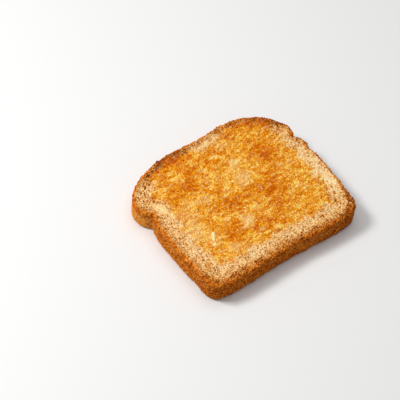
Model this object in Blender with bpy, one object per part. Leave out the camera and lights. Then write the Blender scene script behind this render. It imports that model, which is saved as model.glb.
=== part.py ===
"""Buttered toast: one thick slice of tin-loaf wholemeal bread, toasted, lying flat on its cut face.

The slice is one solid. Seen from above, its base edge is at -Y and its top at +Y, and +Z is up out of the
face that takes the butter. Its outline is that of a loaf baked in a flared tin: a bowed base with round
corners, sides that lean out, a break on each side where the loaf rose past the tin, a lobe that hangs out
above the left break, and a broad, nearly level top. The crust is a rim that stands a little proud of the
crumb on the buttered face.
"""

import math

import bmesh
import bpy
from mathutils import Vector
from mathutils.geometry import interpolate_bezier

MM = 0.001

# Driving dimensions
FOOT_WIDTH = 112.0 * MM  # across the base, between the outer sides of its two corners
BODY_WIDTH = 116.6 * MM  # across the leaning sides, just below the breaks
HEIGHT = 99.7 * MM  # from the base to the top
THICKNESS = 16.0 * MM  # of the slice

# Base of the slice
CORNER_RADIUS = 8.5 * MM
CORNER_LIFT = 0.7 * MM  # how far the base has risen where a corner starts
BASE_BOW = 1.2 * MM  # how far the middle of the base is drawn in
BULGE_SPACING = 36.0 * MM  # from the middle of the base to its lowest place on each side

# Breaks and lobes
BREAK_HEIGHT = 65.0 * MM  # the left break, above the base
LEFT_BREAK_DEPTH = 2.4 * MM  # how far its foot lies inside the body
LEFT_LOBE = 3.2 * MM  # how far the left lobe hangs out past the body
LOBE_UNDERSIDE = 1.6 * MM  # how far the lobe still hangs out where its underside turns into its side
UNDERSIDE_RISE = 4.0 * MM  # that turn, above the left break
RIGHT_BREAK_RISE = 3.0 * MM  # the right break lies this much higher than the left
RIGHT_BREAK_DEPTH = 3.6 * MM
RIGHT_LOBE_INSET = 1.8 * MM  # how far the right lobe stays inside the body
CRACK_DROP = 10.4 * MM  # a shallow crack on the right, below the level of the left break
CRACK_DEPTH = 1.2 * MM
LOBE_RISE = 9.5 * MM  # each lobe's widest place, above the left break

# Top of the slice
SHOULDER_DROP = 17.6 * MM  # the shoulders, below the top
SHOULDER_INSET = 4.8 * MM  # how far the right shoulder lies inside the body
CROWN_DROP = 7.8 * MM  # where the shoulders turn into the top
RIGHT_CROWN = 45.4 * MM
LEFT_CROWN = 48.5 * MM
RIGHT_CREST = 26.0 * MM
LEFT_CREST = 27.0 * MM
LEFT_CREST_DROP = 1.2 * MM
SADDLE = 1.1 * MM  # dip between the two crests

# Shape of the curve through those points
STEPS = 12  # points along each stretch between two outline points
ARC_MIDDLE = 0.293  # of a round corner, as a share of its radius from both of its sides
HANDLE_SHARE = 0.35  # length of a smooth point's handles, as a share of the way to its neighbours
BREAK_SHARE = 0.25  # the same, at the sharp foot of a break
WAVE_HEIGHT = 0.12 * MM  # small unevenness of the crust along the outline
WAVE_LENGTHS = (13.0 * MM, 7.9 * MM, 4.7 * MM)
WAVE_TURN = 1.7  # start of each further wave, in radians

# Edges and faces
EDGE_RADIUS = 2.0 * MM  # rounding between the crust's side and each cut face
EDGE_SEGMENTS = 4
RIM_WIDTH = 0.6 * MM  # flat top of the crust's rim on the buttered face
RIM_SLOPE = 1.5 * MM  # width of the step from the rim down to the crumb
CRUMB_DROP = 0.4 * MM  # how far the crumb lies below the rim
FLAT_SHARE = 0.999  # least upward share of a flat face's normal


def clear_scene():
    for old in list(bpy.data.objects):
        bpy.data.objects.remove(old)


def corner(side):
    """The three points of one base corner, from the base to the side; side is 1 on the right, -1 on the left."""
    foot = FOOT_WIDTH / 2
    middle = CORNER_RADIUS * ARC_MIDDLE
    return [
        (side * (foot - CORNER_RADIUS), CORNER_LIFT, False),
        (side * (foot - middle), CORNER_LIFT + middle, False),
        (side * foot, CORNER_LIFT + CORNER_RADIUS, False),
    ]


def outline_points():
    """The outline's points, anticlockwise from the middle of the base, each with whether it is a sharp break."""
    body = BODY_WIDTH / 2
    return [
        (0.0, BASE_BOW, False),
        (BULGE_SPACING, 0.0, False),
        *corner(1),
        (body, BREAK_HEIGHT - 2 * CRACK_DROP, False),
        (body - CRACK_DEPTH, BREAK_HEIGHT - CRACK_DROP, True),
        (body, BREAK_HEIGHT - CRACK_DROP / 2, False),
        (body - RIGHT_BREAK_DEPTH, BREAK_HEIGHT + RIGHT_BREAK_RISE, True),
        (body - RIGHT_LOBE_INSET, BREAK_HEIGHT + LOBE_RISE, False),
        (body - SHOULDER_INSET, HEIGHT - SHOULDER_DROP, False),
        (RIGHT_CROWN, HEIGHT - CROWN_DROP, False),
        (RIGHT_CREST, HEIGHT, False),
        (0.0, HEIGHT - SADDLE, False),
        (-LEFT_CREST, HEIGHT - LEFT_CREST_DROP, False),
        (-LEFT_CROWN, HEIGHT - CROWN_DROP, False),
        (-body - LEFT_LOBE / 2, HEIGHT - SHOULDER_DROP, False),
        (-body - LEFT_LOBE, BREAK_HEIGHT + LOBE_RISE, False),
        (-body - LOBE_UNDERSIDE, BREAK_HEIGHT + UNDERSIDE_RISE, False),
        (LEFT_BREAK_DEPTH - body, BREAK_HEIGHT, True),
        (-body, BREAK_HEIGHT - CRACK_DROP, False),
        *reversed(corner(-1)),
        (-BULGE_SPACING, 0.0, False),
    ]


def smooth_outline():
    """The outline as a closed row of points: a Bezier stretch between each two outline points."""
    named = outline_points()
    places = [Vector((x, y, 0.0)) for x, y, _ in named]
    sharp = [is_break for _, _, is_break in named]
    count = len(places)
    row = []
    for i, here in enumerate(places):
        after = (i + 1) % count
        there = places[after]
        reach = (there - here).length * HANDLE_SHARE
        if sharp[i]:
            leaving = here.lerp(there, BREAK_SHARE)
        else:
            leaving = here + (there - places[i - 1]).normalized() * reach
        if sharp[after]:
            arriving = there.lerp(here, BREAK_SHARE)
        else:
            arriving = there - (places[(i + 2) % count] - here).normalized() * reach
        row += interpolate_bezier(here, leaving, arriving, there, STEPS + 1)[:-1]
    return row


def waved(row):
    """The outline with the crust's small unevenness, as a sum of waves along its length."""
    total = sum((here - row[i - 1]).length for i, here in enumerate(row))
    along = 0.0
    moved = []
    for i, here in enumerate(row):
        along += (here - row[i - 1]).length
        tangent = row[(i + 1) % len(row)] - row[i - 1]
        outward = Vector((tangent.y, -tangent.x, 0.0)).normalized()
        height = 0.0
        for n, length in enumerate(WAVE_LENGTHS):
            turns = round(total / length)  # a whole number of waves, so that the ends meet
            height += WAVE_HEIGHT / (n + 1) * math.sin(math.tau * turns * along / total + WAVE_TURN * n)
        moved.append(here + outward * height)
    return moved


def centred(row):
    """The outline moved so that its box is centred on the origin."""
    xs = [p.x for p in row]
    ys = [p.y for p in row]
    middle = Vector((min(xs) + max(xs), min(ys) + max(ys), 0.0)) / 2
    return [p - middle for p in row]


def cut_face(bm, up):
    """The slice's large flat face: the top one with up 1, the underside with up -1."""
    return max((f for f in bm.faces if f.normal.z * up > FLAT_SHARE), key=lambda f: f.calc_area())


def slice_mesh():
    """The slice as a closed mesh: the outline extruded, its edges rounded and the crumb let into the top."""
    bm = bmesh.new()
    bottom = bm.faces.new([bm.verts.new(p) for p in centred(waved(smooth_outline()))])
    raised = bmesh.ops.extrude_face_region(bm, geom=[bottom])["geom"]
    top_verts = [g for g in raised if isinstance(g, bmesh.types.BMVert)]
    bmesh.ops.translate(bm, verts=top_verts, vec=(0.0, 0.0, THICKNESS))
    bmesh.ops.recalc_face_normals(bm, faces=bm.faces)

    bmesh.ops.bevel(
        bm,
        geom=[*cut_face(bm, 1).edges, *cut_face(bm, -1).edges],
        offset=EDGE_RADIUS,
        offset_type="OFFSET",
        segments=EDGE_SEGMENTS,
        profile=0.5,
        affect="EDGES",
        material=-1,
        clamp_overlap=False,
    )
    bmesh.ops.inset_region(bm, faces=[cut_face(bm, 1)], thickness=RIM_WIDTH, use_even_offset=False)
    bmesh.ops.inset_region(
        bm,
        faces=[cut_face(bm, 1)],
        thickness=RIM_SLOPE,
        depth=-CRUMB_DROP,
        use_even_offset=False,
    )

    mesh = bpy.data.meshes.new("toast_slice")
    bm.to_mesh(mesh)
    bm.free()
    mesh.shade_smooth()
    mesh.set_sharp_from_angle(angle=math.radians(40))
    return mesh


def toasted_bread():
    material = bpy.data.materials.new("toasted_bread")
    material.use_nodes = True
    shader = material.node_tree.nodes["Principled BSDF"]
    shader.inputs["Base Color"].default_value = (0.57, 0.26, 0.07, 1.0)
    shader.inputs["Roughness"].default_value = 0.6
    shader.inputs["Metallic"].default_value = 0.0
    return material


def main():
    clear_scene()
    collection = bpy.data.collections.new("buttered_toast")
    bpy.context.scene.collection.children.link(collection)
    toast = bpy.data.objects.new("toast_slice", slice_mesh())
    toast.data.materials.append(toasted_bread())
    collection.objects.link(toast)


main()
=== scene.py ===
# %% [markdown]
# # Buttered toast
#
# One thick slice of wholemeal tin loaf, toasted and spread with butter that has melted into the crumb.
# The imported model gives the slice's outline and size as one plain solid. This script sculpts that solid
# in code: the crust band round the side, the open crumb on the face and the last of the butter on top.

# %% Load the frame
import math

import bmesh
import bpy
import numpy as np
from mathutils import Matrix, Vector, bvhtree, kdtree, noise


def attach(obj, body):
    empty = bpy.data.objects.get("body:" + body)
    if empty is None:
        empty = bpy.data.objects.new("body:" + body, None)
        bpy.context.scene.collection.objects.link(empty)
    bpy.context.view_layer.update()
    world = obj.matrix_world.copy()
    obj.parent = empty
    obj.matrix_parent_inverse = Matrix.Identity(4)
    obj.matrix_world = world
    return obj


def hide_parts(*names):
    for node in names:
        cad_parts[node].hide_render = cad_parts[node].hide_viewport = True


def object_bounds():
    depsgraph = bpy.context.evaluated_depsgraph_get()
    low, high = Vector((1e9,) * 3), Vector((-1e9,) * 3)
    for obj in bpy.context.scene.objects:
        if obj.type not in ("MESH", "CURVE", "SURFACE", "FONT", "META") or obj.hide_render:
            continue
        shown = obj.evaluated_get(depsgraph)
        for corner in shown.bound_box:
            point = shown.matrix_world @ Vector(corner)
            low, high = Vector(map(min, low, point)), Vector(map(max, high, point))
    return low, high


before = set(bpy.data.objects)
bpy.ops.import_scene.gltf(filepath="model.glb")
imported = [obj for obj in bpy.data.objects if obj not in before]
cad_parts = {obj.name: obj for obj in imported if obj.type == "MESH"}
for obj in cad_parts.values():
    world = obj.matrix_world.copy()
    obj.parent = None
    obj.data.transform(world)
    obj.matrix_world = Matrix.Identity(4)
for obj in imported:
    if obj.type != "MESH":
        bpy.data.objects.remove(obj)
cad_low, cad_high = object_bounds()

MM = 0.001
print("slice from the frame, mm:", [round(x / MM, 1) for x in cad_high - cad_low])

# %% [markdown]
# ## Camera
#
# A long lens from well above the table shows the whole buttered face and the two nearer sides of the crust.
# The camera's place is worked out from the point it looks at, two angles and a distance, which is easier to
# read and to change than three coordinates and three turns.

# %% Camera
VIEW_AZIMUTH = math.radians(-40.3)
VIEW_ELEVATION = math.radians(54.5)
VIEW_ROLL = math.radians(6.24)
VIEW_DISTANCE = 0.8175
LOOK_AT = Vector((-16.4, 17.5, 0.0)) * MM
LENS = 117.0  # mm, long enough to keep the slice's sides nearly parallel


def direction(azimuth, elevation):
    """The direction towards a camera or a lamp; azimuth 0 is straight in front of the slice's base edge."""
    level = math.cos(elevation)
    return Vector((math.sin(azimuth) * level, -math.cos(azimuth) * level, math.sin(elevation)))


back = direction(VIEW_AZIMUTH, VIEW_ELEVATION)
camera = bpy.data.objects.new("camera", bpy.data.cameras.new("camera"))
camera.data.lens = LENS
camera.data.clip_start = 0.05
camera.location = LOOK_AT + back * VIEW_DISTANCE
turn = back.to_track_quat("Z", "Y") @ Matrix.Rotation(VIEW_ROLL, 3, "Z").to_quaternion()
camera.rotation_mode = "QUATERNION"
camera.rotation_quaternion = turn
bpy.context.scene.collection.objects.link(camera)
bpy.context.scene.camera = camera
print("camera at, m:", [round(x, 3) for x in camera.location])

# %% [markdown]
# ## A helper for materials
#
# Every finish below is a small tree of nodes. One function adds a node, sets it and links it, so that each
# material reads from top to bottom like a recipe. Colours are written as the hex values that a paint chart
# would give, and one function turns them into the linear light that the shader works in.

# %% Nodes and colours
def linear(code):
    """The linear colour of an sRGB hex code such as "c8782f"."""
    shares = [int(code[i:i + 2], 16) / 255 for i in (0, 2, 4)]
    return [s / 12.92 if s <= 0.04045 else ((s + 0.055) / 1.055) ** 2.4 for s in shares] + [1.0]


def add(tree, kind, links=None, stops=None, **settings):
    """Adds a node. links sets each named input to a value or to another node's output; stops fills a ramp."""
    node = tree.nodes.new(kind)
    for name, value in settings.items():
        setattr(node, name, value)
    for name, value in (links or {}).items():
        if isinstance(value, bpy.types.NodeSocket):
            tree.links.new(value, node.inputs[name])
        else:
            node.inputs[name].default_value = value
    for i, (place, code) in enumerate(stops or []):
        points = node.color_ramp.elements
        stop = points[i] if i < len(points) else points.new(place)
        stop.position = place
        stop.color = linear(code)
    return node


def new_material(name):
    """A new material with its tree and its Principled shader."""
    material = bpy.data.materials.new(name)
    material.use_nodes = True
    return material, material.node_tree, material.node_tree.nodes["Principled BSDF"]


print("golden brown in linear light:", [round(share, 3) for share in linear("c8782f")[:3]])

# %% [markdown]
# ## Floor
#
# Toast is usually shown on pale china. A wide square of white glaze stands in for it. One flat face is
# enough, because all it has to do is hold the slice's shadow and throw soft light back at its sides.

# %% Floor
FLOOR_SIZE = 6.0  # metres

bm = bmesh.new()
bmesh.ops.create_grid(bm, x_segments=1, y_segments=1, size=FLOOR_SIZE / 2)
floor_mesh = bpy.data.meshes.new("floor")
bm.to_mesh(floor_mesh)
bm.free()
floor = bpy.data.objects.new("floor", floor_mesh)
bpy.context.scene.collection.objects.link(floor)
# A matt glaze on white china: to the eye an even, pale ground with hardly a reflection in it.
glazed_white, _, shader = new_material("matt_white_glaze")
shader.inputs["Base Color"].default_value = linear("e7e7e6")
shader.inputs["Roughness"].default_value = 0.5
floor_mesh.materials.append(glazed_white)
print("floor:", FLOOR_SIZE, "m square")

# %% [markdown]
# ## Light
#
# Soft daylight from behind and to one side lets the wet butter glint while the nearer sides fall into a warm
# shade. A bright even sky, one lamp the size of a small window and a wide one overhead do that. Only the
# window is seen in the butter, because a thin film glints from one small bright light and greys under many.

# %% Light
SKY_STRENGTH = 0.28
# Each lamp as (name, power in watts, width in m, distance in m, azimuth and elevation in degrees).
LAMPS = [
    ("window", 7.0, 0.28, 1.0, 230, 52),
    ("ceiling", 7.6, 1.2, 1.4, 150, 82),
]

scene = bpy.context.scene
scene.view_settings.view_transform = "Standard"
scene.world = bpy.data.worlds.new("sky")
scene.world.use_nodes = True
sky = scene.world.node_tree.nodes["Background"]
sky.inputs["Color"].default_value = (1.0, 1.0, 1.0, 1.0)
sky.inputs["Strength"].default_value = SKY_STRENGTH
scene.world.cycles_visibility.glossy = False

for name, power, width, distance, azimuth, elevation in LAMPS:
    lamp = bpy.data.objects.new(name, bpy.data.lights.new(name, "AREA"))
    lamp.data.energy = power
    lamp.data.size = width
    towards = direction(math.radians(azimuth), math.radians(elevation))
    lamp.location = towards * distance
    lamp.rotation_euler = towards.to_track_quat("Z", "Y").to_euler()
    lamp.visible_glossy = name == "window"
    scene.collection.objects.link(lamp)
print("lamps:", [name for name, *_ in LAMPS])

# %% [markdown]
# ## An even mesh to sculpt
#
# The frame's solid has long thin triangles, which can't hold a crumb's small holes. A voxel remesh gives a
# skin of small equal squares over the same shape, as a sculptor's clay would be prepared, and every bump and
# pore after that is a move of its points. A copy is used, because the frame itself stays as it is.

# %% Even mesh
SQUARE = 0.36 * MM


def merged_copy(source):
    """A bmesh of the CAD slice with its loose triangles joined."""
    bm = bmesh.new()
    bm.from_mesh(source.data)
    bmesh.ops.remove_doubles(bm, verts=bm.verts, dist=0.001 * MM)
    return bm


def even_mesh(source):
    """The slice's skin as even squares, from a voxel remesh of the merged copy."""
    bm = merged_copy(source)
    mesh = bpy.data.meshes.new("working_slice")
    bm.to_mesh(mesh)
    bm.free()
    worked = bpy.data.objects.new("working_slice", mesh)
    bpy.context.scene.collection.objects.link(worked)
    remesh = worked.modifiers.new("even_squares", "REMESH")
    remesh.mode = "VOXEL"
    remesh.voxel_size = SQUARE
    remesh.use_smooth_shade = True
    graph = bpy.context.evaluated_depsgraph_get()
    even = bpy.data.meshes.new_from_object(worked.evaluated_get(graph))
    bpy.data.objects.remove(worked)
    return even


cad_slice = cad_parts["toast_slice"]
skin = even_mesh(cad_slice)
count = len(skin.vertices)
print("even mesh:", count, "points,", len(skin.polygons), "squares")

# %% Points and normals
def read_vectors(items, name):
    """One vector of each of a mesh's items, such as its points' places, as rows of three numbers."""
    flat = np.empty(len(items) * 3, np.float32)
    items.foreach_get(name, flat)
    return flat.reshape(-1, 3)


points = read_vectors(skin.vertices, "co").astype(float)
outward = read_vectors(skin.vertex_normals, "vector").astype(float)
print("lowest and highest point, mm:", round(points[:, 2].min() / MM, 2), round(points[:, 2].max() / MM, 2))

# %% [markdown]
# ## How far in from the crust
#
# Nearly everything on a slice of bread depends on one distance: how far a point lies in from the outside of
# the crust. The crust is a few millimetres of it, the dry margin the next ten, and the butter the rest.
# Cutting the solid with a level plane gives the outline, and a tree of its points finds each distance
# quickly.

# %% Outline
TOP = cad_high.z
OUTLINE_STEP = 0.25 * MM
TURN_REACH = 4  # steps to either side over which the outline's direction is read


def outline_of(source, height):
    """The slice's outline at this height, as points in order round it, OUTLINE_STEP apart."""
    bm = merged_copy(source)
    everything = [*bm.verts, *bm.edges, *bm.faces]
    bmesh.ops.bisect_plane(
        bm, geom=everything, plane_co=(0, 0, height), plane_no=(0, 0, 1), clear_inner=True, clear_outer=True
    )
    bmesh.ops.remove_doubles(bm, verts=bm.verts, dist=0.01 * MM)
    bm.verts.ensure_lookup_table()
    here, came = bm.verts[0], None
    ring = []
    while True:
        ring.append(here.co.copy())
        way = next(e for e in here.link_edges if e is not came)
        here, came = way.other_vert(here), way
        if here is bm.verts[0]:
            break
    bm.free()
    dense = []
    for start, end in zip(ring, ring[1:] + ring[:1]):
        steps = max(1, round((end - start).length / OUTLINE_STEP))
        dense += [start.lerp(end, i / steps) for i in range(steps)]
    return np.array(dense)[:, :2]


outline = outline_of(cad_slice, TOP / 2)
if np.cross(outline, np.roll(outline, -1, axis=0)).sum() < 0:
    outline = outline[::-1]  # anticlockwise seen from above
outline = np.roll(outline, -int(outline.sum(axis=1).argmax()), axis=0)  # from the top right corner on
ahead = np.roll(outline, -TURN_REACH, axis=0) - np.roll(outline, TURN_REACH, axis=0)
outline_turn = np.arctan2(ahead[:, 1], ahead[:, 0])
print("outline:", round(len(outline) * OUTLINE_STEP / MM), "mm round")

# %% Inset of every point
outline_tree = kdtree.KDTree(len(outline))
for i, (x, y) in enumerate(outline):
    outline_tree.insert((x, y, 0.0), i)
outline_tree.balance()
found = [outline_tree.find((x, y, 0.0)) for x, y, _ in points]
inset = np.array([f[2] for f in found]) / MM
along_mm = np.array([f[1] for f in found]) * OUTLINE_STEP / MM
print("deepest inset:", round(inset.max(), 1), "mm")

# %% [markdown]
# ## Noise with a size in millimetres
#
# Bread is random at every scale, so most shapes here are sums of noise. The helper takes the size of a blob
# in millimetres, because that can be measured on a real slice, and a seed, so that each run is the same.

# %% Noise helpers
NOISE_GAIN = 1.6  # brings the noise's usual swing to about one
SEED_STEPS = (11.3, 7.9, 5.1)  # how far each seed moves the noise, so that no two are alike
places = [Vector(p) / MM for p in points]


def blobs(size, seed):
    """Smooth noise from about -1 to 1 at every point of the skin, in blobs of this size in mm."""
    shift = Vector((seed * step for step in SEED_STEPS))
    return np.array([noise.noise(p * (1 / size) + shift) for p in places]) * NOISE_GAIN


def ramp(values, low, high):
    """0 below low, 1 above high and a smooth rise between."""
    share = np.clip((values - low) / (high - low), 0.0, 1.0)
    return share * share * (3.0 - 2.0 * share)


fine = blobs(1.0, 1)
small = blobs(2.2, 2)
middling = blobs(5.0, 3)
broad = blobs(12.0, 4)
print("swing of the fine noise:", round(fine.min(), 2), "to", round(fine.max(), 2))

# %% Face, base and side
x_mm, y_mm, z_mm = points.T / MM
top_mm = TOP / MM
past_edge = ramp(inset, 0.6, 2.4)  # the crust's rounded edge lies between these insets, in mm
on_face = ramp(z_mm, top_mm - 2.0, top_mm - 0.8) * past_edge
on_base = ramp(-z_mm, -1.2, -0.3) * past_edge
on_side = np.clip(1.0 - on_face - on_base, 0.0, 1.0)
across_mm = z_mm + np.where(z_mm > top_mm / 2, inset, -inset)  # up the side, then in over the face
print("share of the points on the face:", round(on_face.mean(), 2), "on the side:", round(on_side.mean(), 2))

# %% [markdown]
# ## Where the toaster burned and where butter set
#
# A toaster never browns evenly: the crumb that stood proud caught the heat. Butter that wasn't spread right
# out stays as paler places. Both could be painted by hand on an image, but a short list of soft ellipses is
# easier to move, and noise makes their edges waver as real ones do.

# %% Patches
EDGE_WAVER = 1.5  # mm that the noise moves a patch's edge
CORE, REACH = 0.3, 1.5  # a patch is full to here and gone by here, as shares of its half size
# Patches as (x, y, half length, half width, turn in degrees, strength), in mm from the slice's centre.
TOASTED = [
    (-27, 20, 13, 6, 8, 0.46),
    (-16, 24, 7, 2, 8, 0.4),
    (-17, 31, 5, 4, 0, 0.4),
    (-9, -3, 13, 5, -6, 0.42),
    (17, -4, 12, 6, 10, 0.5),
    (-20, -21, 10, 6, 30, 0.42),
    (2, -26, 12, 4, 0, 0.38),
    (17, -19, 8, 4, -20, 0.35),
    (32, 20, 8, 9, 0, 0.5),
    (34, 8, 6, 6, 0, 0.3),
    (24, -10, 8, 4, 0, 0.4),
    (-24, 46, 14, 3.4, 4, 0.42),
    (-42, 38, 9, 2.6, 45, 0.36),
    (38, 39, 14, 4, -35, 0.2),
    (-17, 41, 8, 3, 4, 0.3),
    (50, 33, 5, 9, 25, 0.3),
    (2, 34, 7, 3, 10, 0.3),
]
PALE = [
    (11, 20, 5, 3, 20, 0.8),
    (9, 9, 6, 5, 30, 0.7),
    (-8, -20, 5, 3, 30, 1.4),
    (-9, -17, 2, 5, 10, 0.7),
    (10, 43, 10, 3, 8, 0.4),
    (-33, -18, 5, 4, 58, 0.45),
    (-38, -8, 5, 10, -20, 0.4),
    (-25, -31, 4, 3, 0, 0.6),
    (-47, 15, 1.8, 8, 27, 0.9),
    (-38, 5, 6, 5, 0, 0.4),
    (-31, 10, 5, 3, 0, 0.3),
    (37, -17, 4, 3, 0, 0.25),
    (12, 36, 6, 3, 0, 0.3),
    (43, 4, 3, 6, 0, 0.2),
    (-21, 8, 5, 3, 0, 0.4),
    (3, -14, 4, 2, 0, 0.3),
]


def patches(table):
    """The soft sum of these patches at every point, with wavering edges."""
    total = np.zeros(count)
    for x, y, long_half, wide_half, turn, strength in table:
        c, s = math.cos(math.radians(turn)), math.sin(math.radians(turn))
        dx, dy = x_mm - x + EDGE_WAVER * small, y_mm - y + EDGE_WAVER * middling
        along, across = (dx * c + dy * s) / long_half, (dy * c - dx * s) / wide_half
        total += strength * (1.0 - ramp(np.hypot(along, across), CORE, REACH))
    return total


toasted_patches = patches(TOASTED)
pale_patches = patches(PALE)
print("patches:", len(TOASTED), "toasted and", len(PALE), "pale")

# %% [markdown]
# ## How far the butter went
#
# The knife spread the butter over the middle and stopped short of the crust, further from it on some sides
# than on others. It then soaked in unevenly, so its edge is ragged. This is kept as one number per point, an
# attribute, as the browning and the paler butter are, because the shape and the material then share it.

# %% Sides of the face
# Each is 1 beside its own stretch of crust and fades to 0 towards the others; the limits are in mm.
at_top = ramp(y_mm, 26, 40)
at_base = ramp(-y_mm, 22, 42)
at_left = ramp(-x_mm, 25, 50) * (1.0 - at_top) * (1.0 - at_base)
at_right = ramp(x_mm, 25, 50) * (1.0 - at_top) * (1.0 - at_base)
# The top of the loaf to either side of its middle, where the oven and the toaster browned it most.
dome = at_top * (1.0 - 0.8 * ramp(14 - np.abs(x_mm - 5), 0, 8)) * (1.0 - ramp(-x_mm, 36, 48))
print("share of the points under the dome:", round(dome.mean(), 2))

# %% Soaked crumb
MARGIN = 10.0  # mm of dry crumb, from the outside of the crust
FADE = 3.5  # mm to either side of that over which the butter thins out

margin = MARGIN + 4.0 * at_left + 1.0 * at_right + 4.5 * at_base - 6.0 * dome
fade = FADE + 1.5 * at_right + 2.0 * at_left + 1.5 * at_base
soak = ramp(inset + 1.8 * middling + 1.2 * small, margin - fade, margin + fade) * on_face
print("share of the face with butter:", round(float((soak > 0.5).sum() / (on_face > 0.5).sum()), 2))

# %% Browned crumb
CRUST_BAND = 3.2  # mm of the face that browned along with the crust
CRUST_TOAST = 0.55  # how brown that is: 0 is pale crumb, and 1 is nearly burnt

band = CRUST_BAND + 2.2 * at_base + 1.0 * at_left - 1.4 * at_right + 5.5 * dome
crust_band = 1.0 - ramp(inset + 0.7 * small, 0.2 * band, 1.4 * band)
# Partly painted light and shade: besides browning, the crust is darker on the base and right, painted shade
# on the sides turned from the window, and paler on the left, painted light on the side that faces it.
crust_toast_and_shade = CRUST_TOAST + 0.10 * dome + at_base * (0.16 + 0.16 * on_face) + 0.20 * at_right - 0.12 * at_left
right_edge = ramp(x_mm, 36, 48) * (1.0 - ramp(inset + small, 1.8, 5.5))
lobe_side = ramp(-x_mm, 50, 56) * ramp(y_mm, 12, 18) * ramp(-z_mm, -13, -10)  # paler than the rest
toast = toasted_patches + crust_toast_and_shade * crust_band + 0.3 * right_edge - 0.9 * lobe_side
upper_right = ramp(y_mm, -12, 12)
toast -= (0.36 - 0.40 * upper_right) * at_right * (1.0 - soak)  # the lower right margin is pale
toast = np.clip(toast + 0.08 * broad + 0.10 * middling, -0.5, 1.4)
print("browning from", round(toast.min(), 2), "to", round(toast.max(), 2))

# %% Pale butter
cream = np.clip(pale_patches + 0.25 * small, 0.0, 1.0) * on_face
print("share of the face with pale butter:", round(float((cream > 0.5).sum() / (on_face > 0.5).sum()), 2))

# %% [markdown]
# ## Pores
#
# The crumb is a foam. Near the crust its bubbles are small, drawn out along the crust by the rising dough,
# and lie in loose rows. A bubble could be cut out of a solid, but an ellipse that pushes in the points under
# it is quicker and leaves no thin walls. Each pore also leaves its mark in an attribute, so that the material
# can darken the hole with painted shade.

# %% Sinking a pore
PORE_FLOOR, PORE_RIM = 0.35, 1.3  # a pore is deepest to here and gone by here, as shares of its half size
rng = np.random.default_rng(7)
pore = np.zeros(count)
sunk = np.zeros(count)
skin_tree = kdtree.KDTree(count)
for i, p in enumerate(places):
    skin_tree.insert(p, i)
skin_tree.balance()


def sink(centre, along, long_half, wide_half, depth):
    """Pushes in an ellipse of the skin about centre, in mm; along is the direction of its long side."""
    for place, i, _ in skin_tree.find_range(centre, long_half * PORE_RIM):
        arm = place - centre
        reach = arm.dot(along)
        off = math.sqrt(max(arm.length_squared - reach * reach, 0.0))
        r = math.hypot(reach / long_half, off / wide_half)
        if r < PORE_RIM:
            share = 1.0 - ramp(np.float64(r), PORE_FLOOR, PORE_RIM)
            pore[i] = max(pore[i], share * min(1.0, 0.3 + depth))
            sunk[i] = max(sunk[i], share * depth)


print("points that a pore can sink:", count)

# %% Pores of the dry margin
ROW = 1.15  # mm between rows of pores
FIRST_ROW, LAST_ROW = 2.4, 15.0  # mm in from the outside of the crust
CHANCE_STEP = 5  # outline steps from one chance of a pore to the next
CHANCE, CHANCE_LOSS = 0.5, 0.02  # of a pore, and what it loses with each mm further in
PORE_HALF = 0.28  # mm, half the width of the narrowest pore
PORE_DROP = 0.3  # mm from the rim's height down to a pore's centre


def ring_pores():
    """Pores in loose rows that follow the crust, each row ROW mm further in; returns how many."""
    made = 0
    for row in np.arange(FIRST_ROW, LAST_ROW, ROW):
        for start in range(0, len(outline), CHANCE_STEP):
            luck, slide, shift, size, bend, deep = rng.random(6)
            if luck > CHANCE - CHANCE_LOSS * row:
                continue
            i = int(start + slide * CHANCE_STEP) % len(outline)
            turn = outline_turn[i]
            x, y = outline[i] / MM + np.array((-math.sin(turn), math.cos(turn))) * (row + 0.7 * shift)
            if outline_tree.find((x * MM, y * MM, 0.0))[2] < 0.9 * row * MM:
                continue  # round a corner, where rows from both sides would pile up
            turn += (bend - 0.5) * 0.8
            wide = PORE_HALF + 0.18 * size ** 2
            long_half = wide * (1.0 + 1.1 * bend)
            along = Vector((math.cos(turn), math.sin(turn), 0.0))
            sink(Vector((x, y, top_mm - PORE_DROP)), along, long_half, wide, 0.4 + 0.5 * deep)
            made += 1
    return made


print("pores of the dry margin:", ring_pores())

# %% Pores under the butter
MIDDLE_PORES = 260
MIDDLE_WIDTH, MIDDLE_HEIGHT = 92, 72  # mm of the face that they are scattered over


def middle_pores():
    """Small shallow pores, scattered at random."""
    for x, y, size, bend in rng.random((MIDDLE_PORES, 4)):
        x, y = (x - 0.5) * MIDDLE_WIDTH, (y - 0.5) * MIDDLE_HEIGHT
        wide = PORE_HALF + 0.15 * size
        along = Vector((math.cos(3 * bend), math.sin(3 * bend), 0.0))
        sink(Vector((x, y, top_mm - PORE_DROP)), along, wide * (1 + bend), wide, 0.35)


middle_pores()
print("pores under the butter:", MIDDLE_PORES)

# %% Pits of the crust
PIT_ROW = 1.25  # mm between rows of pits, up the side
PIT_CHANCE = 0.22


def side_pits():
    """Small pits of the crust on a shaken grid that runs round the side; returns how many."""
    made = 0
    for start in range(0, len(outline), CHANCE_STEP):
        for height in np.arange(1.0, top_mm, PIT_ROW):
            luck, size, deep, slide, lift = rng.random(5)
            if luck > PIT_CHANCE:
                continue
            i = int(start + slide * CHANCE_STEP) % len(outline)
            turn = outline_turn[i]
            centre = Vector((*(outline[i] / MM), height + lift - 0.5))
            along = Vector((math.cos(turn), math.sin(turn), 0.0))
            wide = 0.32 + 0.3 * size ** 3
            sink(centre, along, wide * (1.0 + 0.7 * size), wide, 0.4 + 0.4 * deep)
            made += 1
    return made


print("pits of the crust:", side_pits())

# %% Large holes
HOLE_DROP = 0.4  # mm from the rim's height down to the crumb, where the large holes are centred
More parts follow.
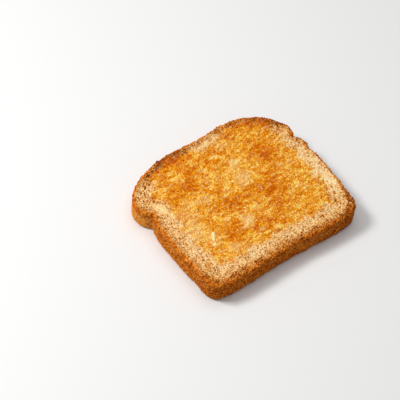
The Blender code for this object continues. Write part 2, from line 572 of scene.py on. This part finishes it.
# Each hole as (x, y, half length, half width, turn in degrees), in mm.
LARGE_PORES = [
    (-48.0, 23.5, 1.5, 1.0, 70),
    (-49.8, 30.5, 2.2, 0.6, 55),
    (-46.5, 35.0, 2.0, 0.6, 40),
    (-43.0, 35.5, 1.8, 0.6, 30),
    (-53.0, 27.0, 1.4, 0.6, 75),
    (-51.5, 23.0, 1.0, 0.6, 80),
    (-40.0, 41.0, 1.5, 0.5, 20),
    (52.0, -27.0, 1.7, 0.8, 80),
    (50.5, -31.5, 1.5, 0.8, 85),
    (48.5, -26.0, 1.7, 0.8, 75),
    (47.5, -36.5, 1.6, 0.8, 60),
    (50.5, -20.5, 1.2, 0.7, 90),
    (46.5, -31.0, 1.1, 0.7, 0),
    (47.5, -21.5, 1.1, 0.6, 80),
    (41.5, -30.5, 1.2, 0.8, 30),
    (-47.0, -28.0, 0.9, 0.7, 0),
    (4.0, -35.5, 2.0, 0.6, 10),
    (-3.5, -34.5, 2.0, 0.7, -15),
    (9.5, 43.5, 2.2, 0.6, 15),
    (13.0, 41.0, 1.8, 0.6, 10),
]

for x, y, long_half, wide_half, turn in LARGE_PORES:
    along = Vector((math.cos(math.radians(turn)), math.sin(math.radians(turn)), 0.0))
    sink(Vector((x, y, top_mm - HOLE_DROP)), along, long_half, wide_half, 1.0)
print("large holes:", len(LARGE_PORES))

# %% [markdown]
# ## Relief
#
# Under the pores the whole skin is uneven. The face is lumpy where butter has softened it, the crust has a
# leathery grain, and its upper edge is knobbly, because the toaster dries it first. The base is left almost
# level, since the slice lies on it. Every number here is a height in mm, given to one size of noise.

# %% Relief
edge = 1.0 - ramp(inset, 1.2, 3.2)
rim = edge * ramp(z_mm, top_mm - 2.6, top_mm - 0.6)
face_relief = 0.12 * fine + 0.12 * small + 0.10 * middling + soak * (0.12 * fine + 0.12 * small)
face_relief += 0.12 * broad - 0.25 * ramp(inset, 4, 22) + 0.25 * cream
side_relief = 0.24 * fine + 0.13 * small + 0.09 * middling + 0.12 * broad
rim_relief = 0.25 + 0.25 * fine + 0.20 * small
height = on_face * face_relief + on_side * side_relief + rim * rim_relief - sunk
height += on_base * (0.05 * small - 0.06)
moved = points + outward * (height * MM)[:, None]
moved[:, 2] = np.maximum(moved[:, 2], 0.0)
skin.vertices.foreach_set("co", moved.astype(np.float32).ravel())
skin.update()
print("relief from", round(float(height.min()), 2), "to", round(float(height.max()), 2), "mm")

# %% Marks for the materials
marks_made = {"soak": soak, "toast": toast, "cream": cream, "pore": pore, "rim": rim}
marks_made.update({"along": along_mm, "across": across_mm})
for name, values in marks_made.items():
    attribute = skin.attributes.new(name, "FLOAT", "POINT")
    attribute.data.foreach_set("value", values.astype(np.float32))
print("marks:", list(marks_made))

# %% [markdown]
# ## Three pieces from one skin
#
# The crust, the buttered face and the underside are cut from the one sculpted skin, so they meet point for
# point. Each keeps the whole skin's normals along its cut, and so no seam shows in the shading.

# %% Cut the skin into pieces
CRUST_WIDTH = 1.9  # mm of the face and of the base that belong to the crust piece

skin_normals = read_vectors(skin.vertex_normals, "vector")
vertex_zone = np.where(inset + 0.4 * small < CRUST_WIDTH, 0, np.where(z_mm > top_mm / 2, 1, 2))
index_store = skin.attributes.new("skin_index", "INT", "POINT")
index_store.data.foreach_set("value", np.arange(count, dtype=np.int32))


def piece_of(name, zone):
    """The part of the skin in this zone; a square that reaches into two zones goes to the higher one."""
    bm = bmesh.new()
    bm.from_mesh(skin)
    bm.verts.ensure_lookup_table()
    zones = [vertex_zone[v.index] for v in bm.verts]
    others = [f for f in bm.faces if max(zones[v.index] for v in f.verts) != zone]
    bmesh.ops.delete(bm, geom=others, context="FACES")
    mesh = bpy.data.meshes.new(name)
    bm.to_mesh(mesh)
    bm.free()
    return mesh


pieces = {}
for zone, name in enumerate(("toasted_crust", "buttered_face", "toasted_underside")):
    mesh = piece_of(name, zone)
    kept = np.empty(len(mesh.vertices), np.int32)
    mesh.attributes["skin_index"].data.foreach_get("value", kept)
    mesh.attributes.remove(mesh.attributes["skin_index"])
    mesh.polygons.foreach_set("use_smooth", [True] * len(mesh.polygons))
    mesh.normals_split_custom_set_from_vertices([tuple(n) for n in skin_normals[kept]])
    pieces[name] = bpy.data.objects.new(name, mesh)
    scene.collection.objects.link(pieces[name])
    print(name, len(mesh.polygons) * 2, "triangles")

# %% [markdown]
# ## Finish: uneven browning and small holes
#
# Crumb and crust share two things: colour that wanders about an average, and holes too small to sculpt. The
# first is a sum of noises on top of a mark, which a colour scale then reads. The second is painted shade: a
# Voronoi pattern with a dark hole in each cell, drawn out into rows where it follows the crust.

# %% Uneven browning
def uneven(tree, start, parts):
    """start plus each pattern's swing about one half, times its weight."""
    for pattern, weight in parts:
        swing = add(tree, "ShaderNodeMath", {0: pattern, 1: 0.5}, operation="SUBTRACT")
        total = add(tree, "ShaderNodeMath", {
            0: swing.outputs[0], 1: weight, 2: start,
        }, operation="MULTIPLY_ADD")
        start = total.outputs[0]
    return start


# %% Small holes
def small_hole_shade(tree, place, scale, share):
    """Where painted shade darkens holes too small to sculpt: round holes on a flat map, 1 inside a hole and 0
    outside; about share of them are pinpricks.
    """
    # A hole's half width is from 0.12 to 0.36 of the spacing.
    cells = add(tree, "ShaderNodeTexVoronoi", {"Vector": place, "Scale": scale}, voronoi_dimensions="2D")
    size = add(tree, "ShaderNodeMapRange", {
        "Value": cells.outputs["Color"], "From Min": share, "From Max": 0.9, "To Min": 0.12, "To Max": 0.36,
    })
    depth = add(tree, "ShaderNodeMath", {
        0: size.outputs[0], 1: cells.outputs["Distance"],
    }, operation="SUBTRACT")
    hole = add(tree, "ShaderNodeMapRange", {"Value": depth.outputs[0], "From Min": -0.03, "From Max": 0.08})
    return hole.outputs[0]


def row_hole_shade(tree, long, wide, share):
    """Painted shade of small holes in rows along the crust; long and wide are their spacings along and across
    it, in mm.
    """
    along = add(tree, "ShaderNodeAttribute", attribute_name="along").outputs["Fac"]
    across = add(tree, "ShaderNodeAttribute", attribute_name="across").outputs["Fac"]
    along = add(tree, "ShaderNodeMath", {0: along, 1: 1 / long}, operation="MULTIPLY")
    across = add(tree, "ShaderNodeMath", {0: across, 1: 1 / wide}, operation="MULTIPLY")
    place = add(tree, "ShaderNodeCombineXYZ", {"X": along.outputs[0], "Y": across.outputs[0]})
    return small_hole_shade(tree, place.outputs[0], 1.0, share)


# %% [markdown]
# ## Finish: buttered crumb
#
# Dry toasted crumb is pale tan, with its pores painted brown as painted shade. Where butter has soaked in it
# turns amber, deeper where the toaster browned it, and a clear wet film lies over it. One colour scale with
# butter as a yellow glaze would look thin, so there are two scales, a dry and a soaked one, both read by how
# brown the place is. The soak mark mixes them, and the film is the shader's clear coat.

# %% Crumb patterns
STREAK_TURN = 25.0  # degrees; the knife dragged the soft crumb this way
STREAK_STRETCH = 2.2  # how much longer than wide a streak is


def crumb_patterns(tree, coords, streaks):
    """Patterns that swing about one half, each at the size in mm of something seen in toasted crumb."""
    # The finest crumbs are about 0.3 mm across and would blur away, so the first two are drawn coarser.
    grain = add(tree, "ShaderNodeTexNoise", {
        "Vector": coords, "Scale": 1 / (0.9 * MM), "Detail": 3.0, "Roughness": 0.8,
    })
    crumbs = add(tree, "ShaderNodeTexVoronoi", {"Vector": coords, "Scale": 1 / (0.6 * MM)})
    flakes = add(tree, "ShaderNodeTexNoise", {
        "Vector": streaks, "Scale": 1 / (2.6 * MM), "Detail": 4.0, "Roughness": 0.6,
    })
    mottle = add(tree, "ShaderNodeTexNoise", {"Vector": coords, "Scale": 1 / (6.0 * MM), "Detail": 2.0})
    return {
        "grain": grain.outputs["Fac"],
        "crumbs": crumbs.outputs["Color"],
        "crumb_height": crumbs.outputs["Distance"],
        "flakes": flakes.outputs["Fac"],
        "mottle": mottle.outputs["Fac"],
    }


print("a streak of crumb is", STREAK_STRETCH, "times as long as it is wide")

# %% Dry crumb
# Each scale runs from the palest crumb to the brownest, as (level, colour).
DRY_SCALE = [
    (0.0, "fde2b2"), (0.25, "f6d49c"), (0.45, "eab976"), (0.6, "d9923c"), (0.75, "c8721c"), (0.88, "964c10"),
    (1.0, "70360e"),
]
BROWNING_SPAN = {"From Min": -0.7, "From Max": 1.1}  # the browning that a scale's two ends stand for
HOLE_SPACING = 1.7  # mm along the crust between the crumb's smallest holes
HOLE_ROWS = 1.05  # mm between their rows
PINPRICKS = 0.55  # share of them that hardly show


def dry_crumb(tree, marks, patterns):
    """The colour of crumb without butter: browner by its mark, and darker in holes that nothing fills, as
    painted shade.
    """
    level = uneven(tree, marks["toast"], [
        (patterns["grain"], 1.5), (patterns["crumbs"], 1.4), (patterns["flakes"], 0.5),
        (patterns["mottle"], 0.4),
    ])
    # Holes are painted darker brown as painted shade, less where set butter fills them and less on crumb that
    # is already brown.
    holes = add(tree, "ShaderNodeMath", {
        0: marks["pore"], 1: row_hole_shade(tree, HOLE_SPACING, HOLE_ROWS, PINPRICKS),
    }, operation="MAXIMUM")
    unfilled = add(tree, "ShaderNodeMapRange", {
        "Value": marks["cream"], "From Max": 0.6, "To Min": 1.0, "To Max": 0.0,
    })
    unburnt = add(tree, "ShaderNodeMapRange", {
        "Value": marks["toast"], "From Min": 0.45, "From Max": 0.9, "To Min": 1.0, "To Max": 0.3,
    })
    darker = add(tree, "ShaderNodeMath", {
        0: unfilled.outputs[0], 1: unburnt.outputs[0],
    }, operation="MULTIPLY")
    level = add(tree, "ShaderNodeMath", {
        0: holes.outputs[0], 1: darker.outputs[0], 2: level,
    }, operation="MULTIPLY_ADD")
    share = add(tree, "ShaderNodeMapRange", {"Value": level.outputs[0], **BROWNING_SPAN})
    return add(tree, "ShaderNodeValToRGB", {"Fac": share.outputs[0]}, stops=DRY_SCALE).outputs[0]


print("dry crumb runs from", DRY_SCALE[0][1], "to", DRY_SCALE[-1][1])

# %% Crumb full of butter
SOAKED_SCALE = [
    (0.0, "fbd87c"), (0.18, "f2b536"), (0.38, "e59612"), (0.53, "dc8005"), (0.72, "d36a00"), (1.0, "b44e00"),
]


def soaked_crumb(tree, marks, patterns, streaks):
    """The colour of crumb full of butter: its fine grain shows in some pools and drowns in others."""
    pools = add(tree, "ShaderNodeTexNoise", {"Vector": streaks, "Scale": 1 / (5.0 * MM), "Detail": 1.0})
    open_crumb = add(tree, "ShaderNodeMapRange", {
        "Value": pools.outputs["Fac"], "From Min": 0.4, "From Max": 0.6, "To Min": 0.8, "To Max": 3.2,
    })
    level = uneven(tree, marks["toast"], [
        (patterns["grain"], open_crumb.outputs[0]), (patterns["crumbs"], 1.5), (patterns["flakes"], 3.1),
        (patterns["mottle"], 0.7),
    ])
    # Pores are painted darker: painted shade in them.
    level = add(tree, "ShaderNodeMath", {0: marks["pore"], 1: 0.5, 2: level}, operation="MULTIPLY_ADD")
    share = add(tree, "ShaderNodeMapRange", {"Value": level.outputs[0], **BROWNING_SPAN})
    return add(tree, "ShaderNodeValToRGB", {"Fac": share.outputs[0]}, stops=SOAKED_SCALE).outputs[0]


def wet_share(tree, marks, patterns):
    """0 on dry crumb and 1 where butter fills it, with an edge that the mottle makes ragged."""
    wet = uneven(tree, marks["soak"], [(patterns["mottle"], -1.5)])
    return add(tree, "ShaderNodeMapRange", {"Value": wet, "From Min": 0.1, "From Max": 0.65}).outputs[0]


print("crumb full of butter runs from", SOAKED_SCALE[0][1], "to", SOAKED_SCALE[-1][1])

# %% Smears of set butter, and painted glints
SET_BUTTER_AND_GLINT = "f4d592"
SET_BUTTER_AND_GLINT_COVER = 0.6  # how much of the crumb's own colour it hides


def with_smears_and_glints(tree, marks, streaks, wetness, colour):
    """The colour with butter that has set again, in smears on the wet crumb and at the cream marks; the
    smears on the wet crumb are partly painted highlights for the film's small glints.
    """
    smears = add(tree, "ShaderNodeTexNoise", {
        "Vector": streaks, "Scale": 1 / (3.0 * MM), "Detail": 3.0, "Roughness": 0.6, "Distortion": 0.4,
    })
    chosen = add(tree, "ShaderNodeMapRange", {
        "Value": smears.outputs["Fac"], "From Min": 0.6, "From Max": 0.7,
    })
    # The flecks are partly set butter and partly painted highlights that stand in for the film's small
    # glints.
    fleck_and_glint = add(tree, "ShaderNodeMath", {0: chosen.outputs[0], 1: wetness}, operation="MULTIPLY")
    pale = add(tree, "ShaderNodeMath", {0: fleck_and_glint.outputs[0], 1: marks["cream"]}, operation="MAXIMUM")
    pale = add(tree, "ShaderNodeMath", {0: pale.outputs[0], 1: SET_BUTTER_AND_GLINT_COVER}, operation="MULTIPLY")
    smeared = add(tree, "ShaderNodeMix", {
        "Factor": pale.outputs[0], "A": colour, "B": linear(SET_BUTTER_AND_GLINT),
    }, data_type="RGBA")
    return smeared.outputs[2]


# %% Film of butter
def butter_film(tree, shader, coords, toast_mark, wetness):
    """A clear coat in beads over the wet crumb, but none on brown crumb; its ripples glint in small dots."""
    glaze = add(tree, "ShaderNodeMapRange", {
        "Value": toast_mark, "From Max": 0.4, "To Min": 0.35, "To Max": 0.0,
    })
    beads = add(tree, "ShaderNodeTexNoise", {"Vector": coords, "Scale": 1 / (1.6 * MM), "Detail": 1.0})
    beaded = add(tree, "ShaderNodeMapRange", {
        "Value": beads.outputs["Fac"], "From Min": 0.56, "From Max": 0.64,
    })
    film = add(tree, "ShaderNodeMath", {0: wetness, 1: glaze.outputs[0]}, operation="MULTIPLY")
    film = add(tree, "ShaderNodeMath", {0: film.outputs[0], 1: beaded.outputs[0]}, operation="MULTIPLY")
    drops = add(tree, "ShaderNodeTexVoronoi", {"Vector": coords, "Scale": 1 / (1.3 * MM)})
    ripple = add(tree, "ShaderNodeBump", {
        "Height": drops.outputs["Distance"], "Strength": 0.8, "Distance": 0.35 * MM,
    })
    tree.links.new(film.outputs[0], shader.inputs["Coat Weight"])
    tree.links.new(ripple.outputs[0], shader.inputs["Coat Normal"])
    shader.inputs["Coat Roughness"].default_value = 0.07
    shader.inputs["Coat IOR"].default_value = 1.5  # melted butter's is a little under this


# %% Buttered crumb material
def crumb_material():
    """Wholemeal crumb, baked, toasted and soaked with butter.

    Dry crumb is matt and a little translucent, so its pores have warm and not black shadows. Butter fills it
    and makes it smoother and deeper in colour, and its film gives small sharp glints.
    """
    material, tree, shader = new_material("buttered_wholemeal_crumb")
    coords = add(tree, "ShaderNodeTexCoord").outputs["Object"]
    marks = {
        name: add(tree, "ShaderNodeAttribute", attribute_name=name).outputs["Fac"]
        for name in ("soak", "toast", "cream", "pore")
    }
    streaks = add(tree, "ShaderNodeMapping", {
        "Vector": coords,
        "Rotation": (0.0, 0.0, math.radians(-STREAK_TURN)),
        "Scale": (1 / STREAK_STRETCH, 1.0, 1.0),
    }).outputs[0]
    patterns = crumb_patterns(tree, coords, streaks)
    wetness = wet_share(tree, marks, patterns)
    colour = add(tree, "ShaderNodeMix", {
        "Factor": wetness,
        "A": dry_crumb(tree, marks, patterns),
        "B": soaked_crumb(tree, marks, patterns, streaks),
    }, data_type="RGBA").outputs[2]
    tree.links.new(with_smears_and_glints(tree, marks, streaks, wetness, colour), shader.inputs["Base Color"])
    rough = add(tree, "ShaderNodeMapRange", {"Value": wetness, "To Min": 0.8, "To Max": 0.4})
    tree.links.new(rough.outputs[0], shader.inputs["Roughness"])
    shader.inputs["Specular IOR Level"].default_value = 0.05
    shader.inputs["Subsurface Weight"].default_value = 0.15
    shader.inputs["Subsurface Radius"].default_value = (1.0, 0.45, 0.15)
    shader.inputs["Subsurface Scale"].default_value = 1.5 * MM
    bumps = add(tree, "ShaderNodeMath", {
        0: patterns["crumb_height"], 1: patterns["grain"],
    }, operation="ADD")
    bump = add(tree, "ShaderNodeBump", {"Height": bumps.outputs[0], "Strength": 0.9, "Distance": 0.35 * MM})
    tree.links.new(bump.outputs[0], shader.inputs["Normal"])
    butter_film(tree, shader, coords, marks["toast"], wetness)
    return material


crumb = crumb_material()
pieces["buttered_face"].data.materials.append(crumb)
print(crumb.name, "has", len(crumb.node_tree.nodes), "nodes")

# %% [markdown]
# ## Finish: baked crust
#
# The crust of a wholemeal loaf is golden brown with darker flecks of bran. It was baked dry and then toasted,
# so it is matt, deeper in colour where the top of the loaf caught the oven's heat. The underside is bare
# toasted crumb with no butter on it, and the same brown serves it: only its holes lie in no rows.

# %% Crust material
CRUST_SCALE = [
    (0.0, "eca046"), (0.2, "dc8428"), (0.4, "ca6c16"), (0.55, "b0520a"), (0.75, "803205"), (1.0, "441602"),
]
BAKED_SPAN = {"From Min": -0.6, "From Max": 1.4}  # the browning that the crust scale's two ends stand for
PIT_SPACING = 1.8  # mm round the slice between the crust's smallest pits
PIT_ROWS = 1.4  # mm between their rows
CRUST_PINPRICKS = 0.6  # share of them that hardly show


def crust_material(name, in_rows):
    """Wholemeal dough baked dry: to the eye a matt brown skin with pits and flecks, and almost no shine."""
    material, tree, shader = new_material(name)
    coords = add(tree, "ShaderNodeTexCoord").outputs["Object"]
    pore_shade_mark = add(tree, "ShaderNodeAttribute", attribute_name="pore").outputs["Fac"]
    rim_highlight_mark = add(tree, "ShaderNodeAttribute", attribute_name="rim").outputs["Fac"]
    toast_mark = add(tree, "ShaderNodeAttribute", attribute_name="toast").outputs["Fac"]
    grain = add(tree, "ShaderNodeTexNoise", {
        "Vector": coords, "Scale": 1 / (0.85 * MM), "Detail": 3.0, "Roughness": 0.8,
    })
    spots = add(tree, "ShaderNodeTexNoise", {"Vector": coords, "Scale": 1 / (2.4 * MM), "Detail": 2.0})
    mottle = add(tree, "ShaderNodeTexNoise", {"Vector": coords, "Scale": 1 / (7.0 * MM), "Detail": 2.0})
    crumbs = add(tree, "ShaderNodeTexVoronoi", {"Vector": coords, "Scale": 1 / (0.6 * MM)})
    baked = add(tree, "ShaderNodeMath", {0: toast_mark, 1: 0.7, 2: -0.2}, operation="MULTIPLY_ADD")
    brown = uneven(tree, baked.outputs[0], [
        (grain.outputs["Fac"], 2.2), (crumbs.outputs["Color"], 1.6), (spots.outputs["Fac"], 0.7),
        (mottle.outputs["Fac"], 0.7),
    ])
    # The crust's upper edge is painted a little lighter: a faint painted highlight along it.
    brown = add(tree, "ShaderNodeMath", {0: rim_highlight_mark, 1: -0.04, 2: brown}, operation="MULTIPLY_ADD")
    # Pores and pits are painted darker brown: painted shade in the holes.
    if in_rows:
        pits = row_hole_shade(tree, PIT_SPACING, PIT_ROWS, CRUST_PINPRICKS)
    else:
        pits = small_hole_shade(tree, coords, 1 / (PIT_SPACING * MM), CRUST_PINPRICKS)
    holes = add(tree, "ShaderNodeMath", {0: pore_shade_mark, 1: pits}, operation="MAXIMUM")
    brown = add(tree, "ShaderNodeMath", {0: holes.outputs[0], 1: brown.outputs[0]}, operation="ADD")
    level = add(tree, "ShaderNodeMapRange", {"Value": brown.outputs[0], **BAKED_SPAN})
    colour = add(tree, "ShaderNodeValToRGB", {"Fac": level.outputs[0]}, stops=CRUST_SCALE)
    tree.links.new(colour.outputs[0], shader.inputs["Base Color"])
    shader.inputs["Roughness"].default_value = 0.75
    shader.inputs["Specular IOR Level"].default_value = 0.03
    bump = add(tree, "ShaderNodeBump", {
        "Height": grain.outputs["Fac"], "Strength": 0.6, "Distance": 0.2 * MM,
    })
    tree.links.new(bump.outputs[0], shader.inputs["Normal"])
    return material


crust = crust_material("baked_wholemeal_crust", in_rows=True)
pieces["toasted_crust"].data.materials.append(crust)
pieces["toasted_underside"].data.materials.append(crust_material("toasted_wholemeal_crumb", in_rows=False))
print(crust.name, "has", len(crust.node_tree.nodes), "nodes")

# %% [markdown]
# ## The last of the butter
#
# Some butter hasn't melted yet: a few scraps from the knife, and small drops where it spattered. Each is a
# squashed ball whose points are dropped onto the crumb below them, so that it lies in the crumb like a smear.
# The scraps are large enough to notice, so they are listed one by one. The drops are scattered in loose
# groups.

# %% Scraps and drops
# Scraps as (x, y, half length, half width, turn in degrees, thickness), in mm.
SCRAPS = [
    (-32.0, -17.0, 3.7, 1.05, 58, 0.7),
    (-35.0, -22.5, 1.3, 0.8, 30, 0.4),
    (-29.5, -20.5, 0.9, 0.6, 10, 0.35),
    (-47.6, 16.0, 4.0, 0.5, -64, 0.3),
    (-44.5, 9.0, 1.5, 0.6, -40, 0.35),
    (-40.0, -6.0, 1.0, 0.5, -70, 0.3),
    (-43.0, 2.0, 0.8, 0.5, -30, 0.3),
]
# Groups of drops as (x, y, half length, half width, turn in degrees, how many), in mm.
DROP_GROUPS = [
    (-19.0, 8.0, 17.0, 4.0, 62, 26),
    (-38.0, -8.0, 18.0, 6.0, 75, 34),
    (0.0, -5.0, 34.0, 20.0, 0, 30),
]
DROP_HALF = 0.30  # mm, half the width of the smallest drop
drop_luck = np.random.default_rng(41)


def drops_in(x, y, long_half, wide_half, turn, how_many):
    """Drops scattered about this place, most of them near its middle, written as the scraps are."""
    c, s = math.cos(math.radians(turn)), math.sin(math.radians(turn))
    drops = []
    for far, off, size, lean in drop_luck.normal(size=(how_many, 4)):
        far, off = far * long_half / 2, off * wide_half / 2
        size = DROP_HALF + 0.07 * min(abs(size), 3.0)
        drops.append((x + far * c - off * s, y + far * s + off * c, 1.5 * size, size, 60 + 40 * lean, size))
    return drops


lumps = SCRAPS + [drop for group in DROP_GROUPS for drop in drops_in(*group)]
print("scraps of butter:", len(SCRAPS), "and drops:", len(lumps) - len(SCRAPS))

# %% Butter laid on the crumb
SMALL_LUMP = 0.8  # mm, half the length of the longest lump that needs only a coarse ball


def butter_mesh():
    """All the lumps of butter as one mesh, each resting on the sculpted crumb."""
    surface = bvhtree.BVHTree.FromObject(pieces["buttered_face"], bpy.context.evaluated_depsgraph_get())
    bm = bmesh.new()
    for n, (x, y, long_half, wide_half, turn, thick) in enumerate(lumps):
        fineness = 4 if long_half > SMALL_LUMP else 2
        ball = bmesh.ops.create_icosphere(bm, subdivisions=fineness, radius=1.0)["verts"]
        lie = Matrix.Rotation(math.radians(turn), 3, "Z")
        for v in ball:
            swell = 1.0 + 0.35 * noise.noise(v.co * 1.6 + Vector((n * 5.0, 0, 0)))
            flat = lie @ Vector((v.co.x * long_half * swell, v.co.y * wide_half * swell, 0.0))
            over = Vector(((x + flat.x) * MM, (y + flat.y) * MM, cad_high.z + 5 * MM))
            below = surface.ray_cast(over, Vector((0, 0, -1)))[0]
            rest = below.z if below else cad_high.z
            v.co = Vector((over.x, over.y, rest + v.co.z * thick * swell * MM))
    mesh = bpy.data.meshes.new("unmelted_butter")
    bm.to_mesh(mesh)
    bm.free()
    mesh.shade_smooth()
    return mesh


pieces["unmelted_butter"] = bpy.data.objects.new("unmelted_butter", butter_mesh())
scene.collection.objects.link(pieces["unmelted_butter"])
print("unmelted_butter", len(pieces["unmelted_butter"].data.polygons), "triangles")

# %% Softened butter material
def butter_material():
    """Butter about to melt: to the eye milky and pale, lit from inside at its edges, with a dull shine."""
    material, tree, shader = new_material("softened_butter")
    coords = add(tree, "ShaderNodeTexCoord").outputs["Object"]
    cloud = add(tree, "ShaderNodeTexNoise", {"Vector": coords, "Scale": 1 / (1.2 * MM), "Detail": 2.0})
    colour = add(tree, "ShaderNodeValToRGB", {
        "Fac": cloud.outputs["Fac"],
    }, stops=[(0.35, "f6d082"), (0.65, "fce5ae")])
    tree.links.new(colour.outputs[0], shader.inputs["Base Color"])
    shader.inputs["Roughness"].default_value = 0.4
    shader.inputs["Specular IOR Level"].default_value = 0.3
    shader.inputs["Subsurface Weight"].default_value = 0.3
    shader.inputs["Subsurface Radius"].default_value = (1.0, 0.8, 0.4)
    shader.inputs["Subsurface Scale"].default_value = 1.0 * MM
    return material


butter = butter_material()
pieces["unmelted_butter"].data.materials.append(butter)
print(butter.name, "has", len(butter.node_tree.nodes), "nodes")

# %% [markdown]
# ## Hand the pieces over
#
# The slice is one body, so every piece rides on it and takes the place of the imported solid.

# %% Ride and finish
for piece in pieces.values():
    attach(piece, "root")
    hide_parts("toast_slice")
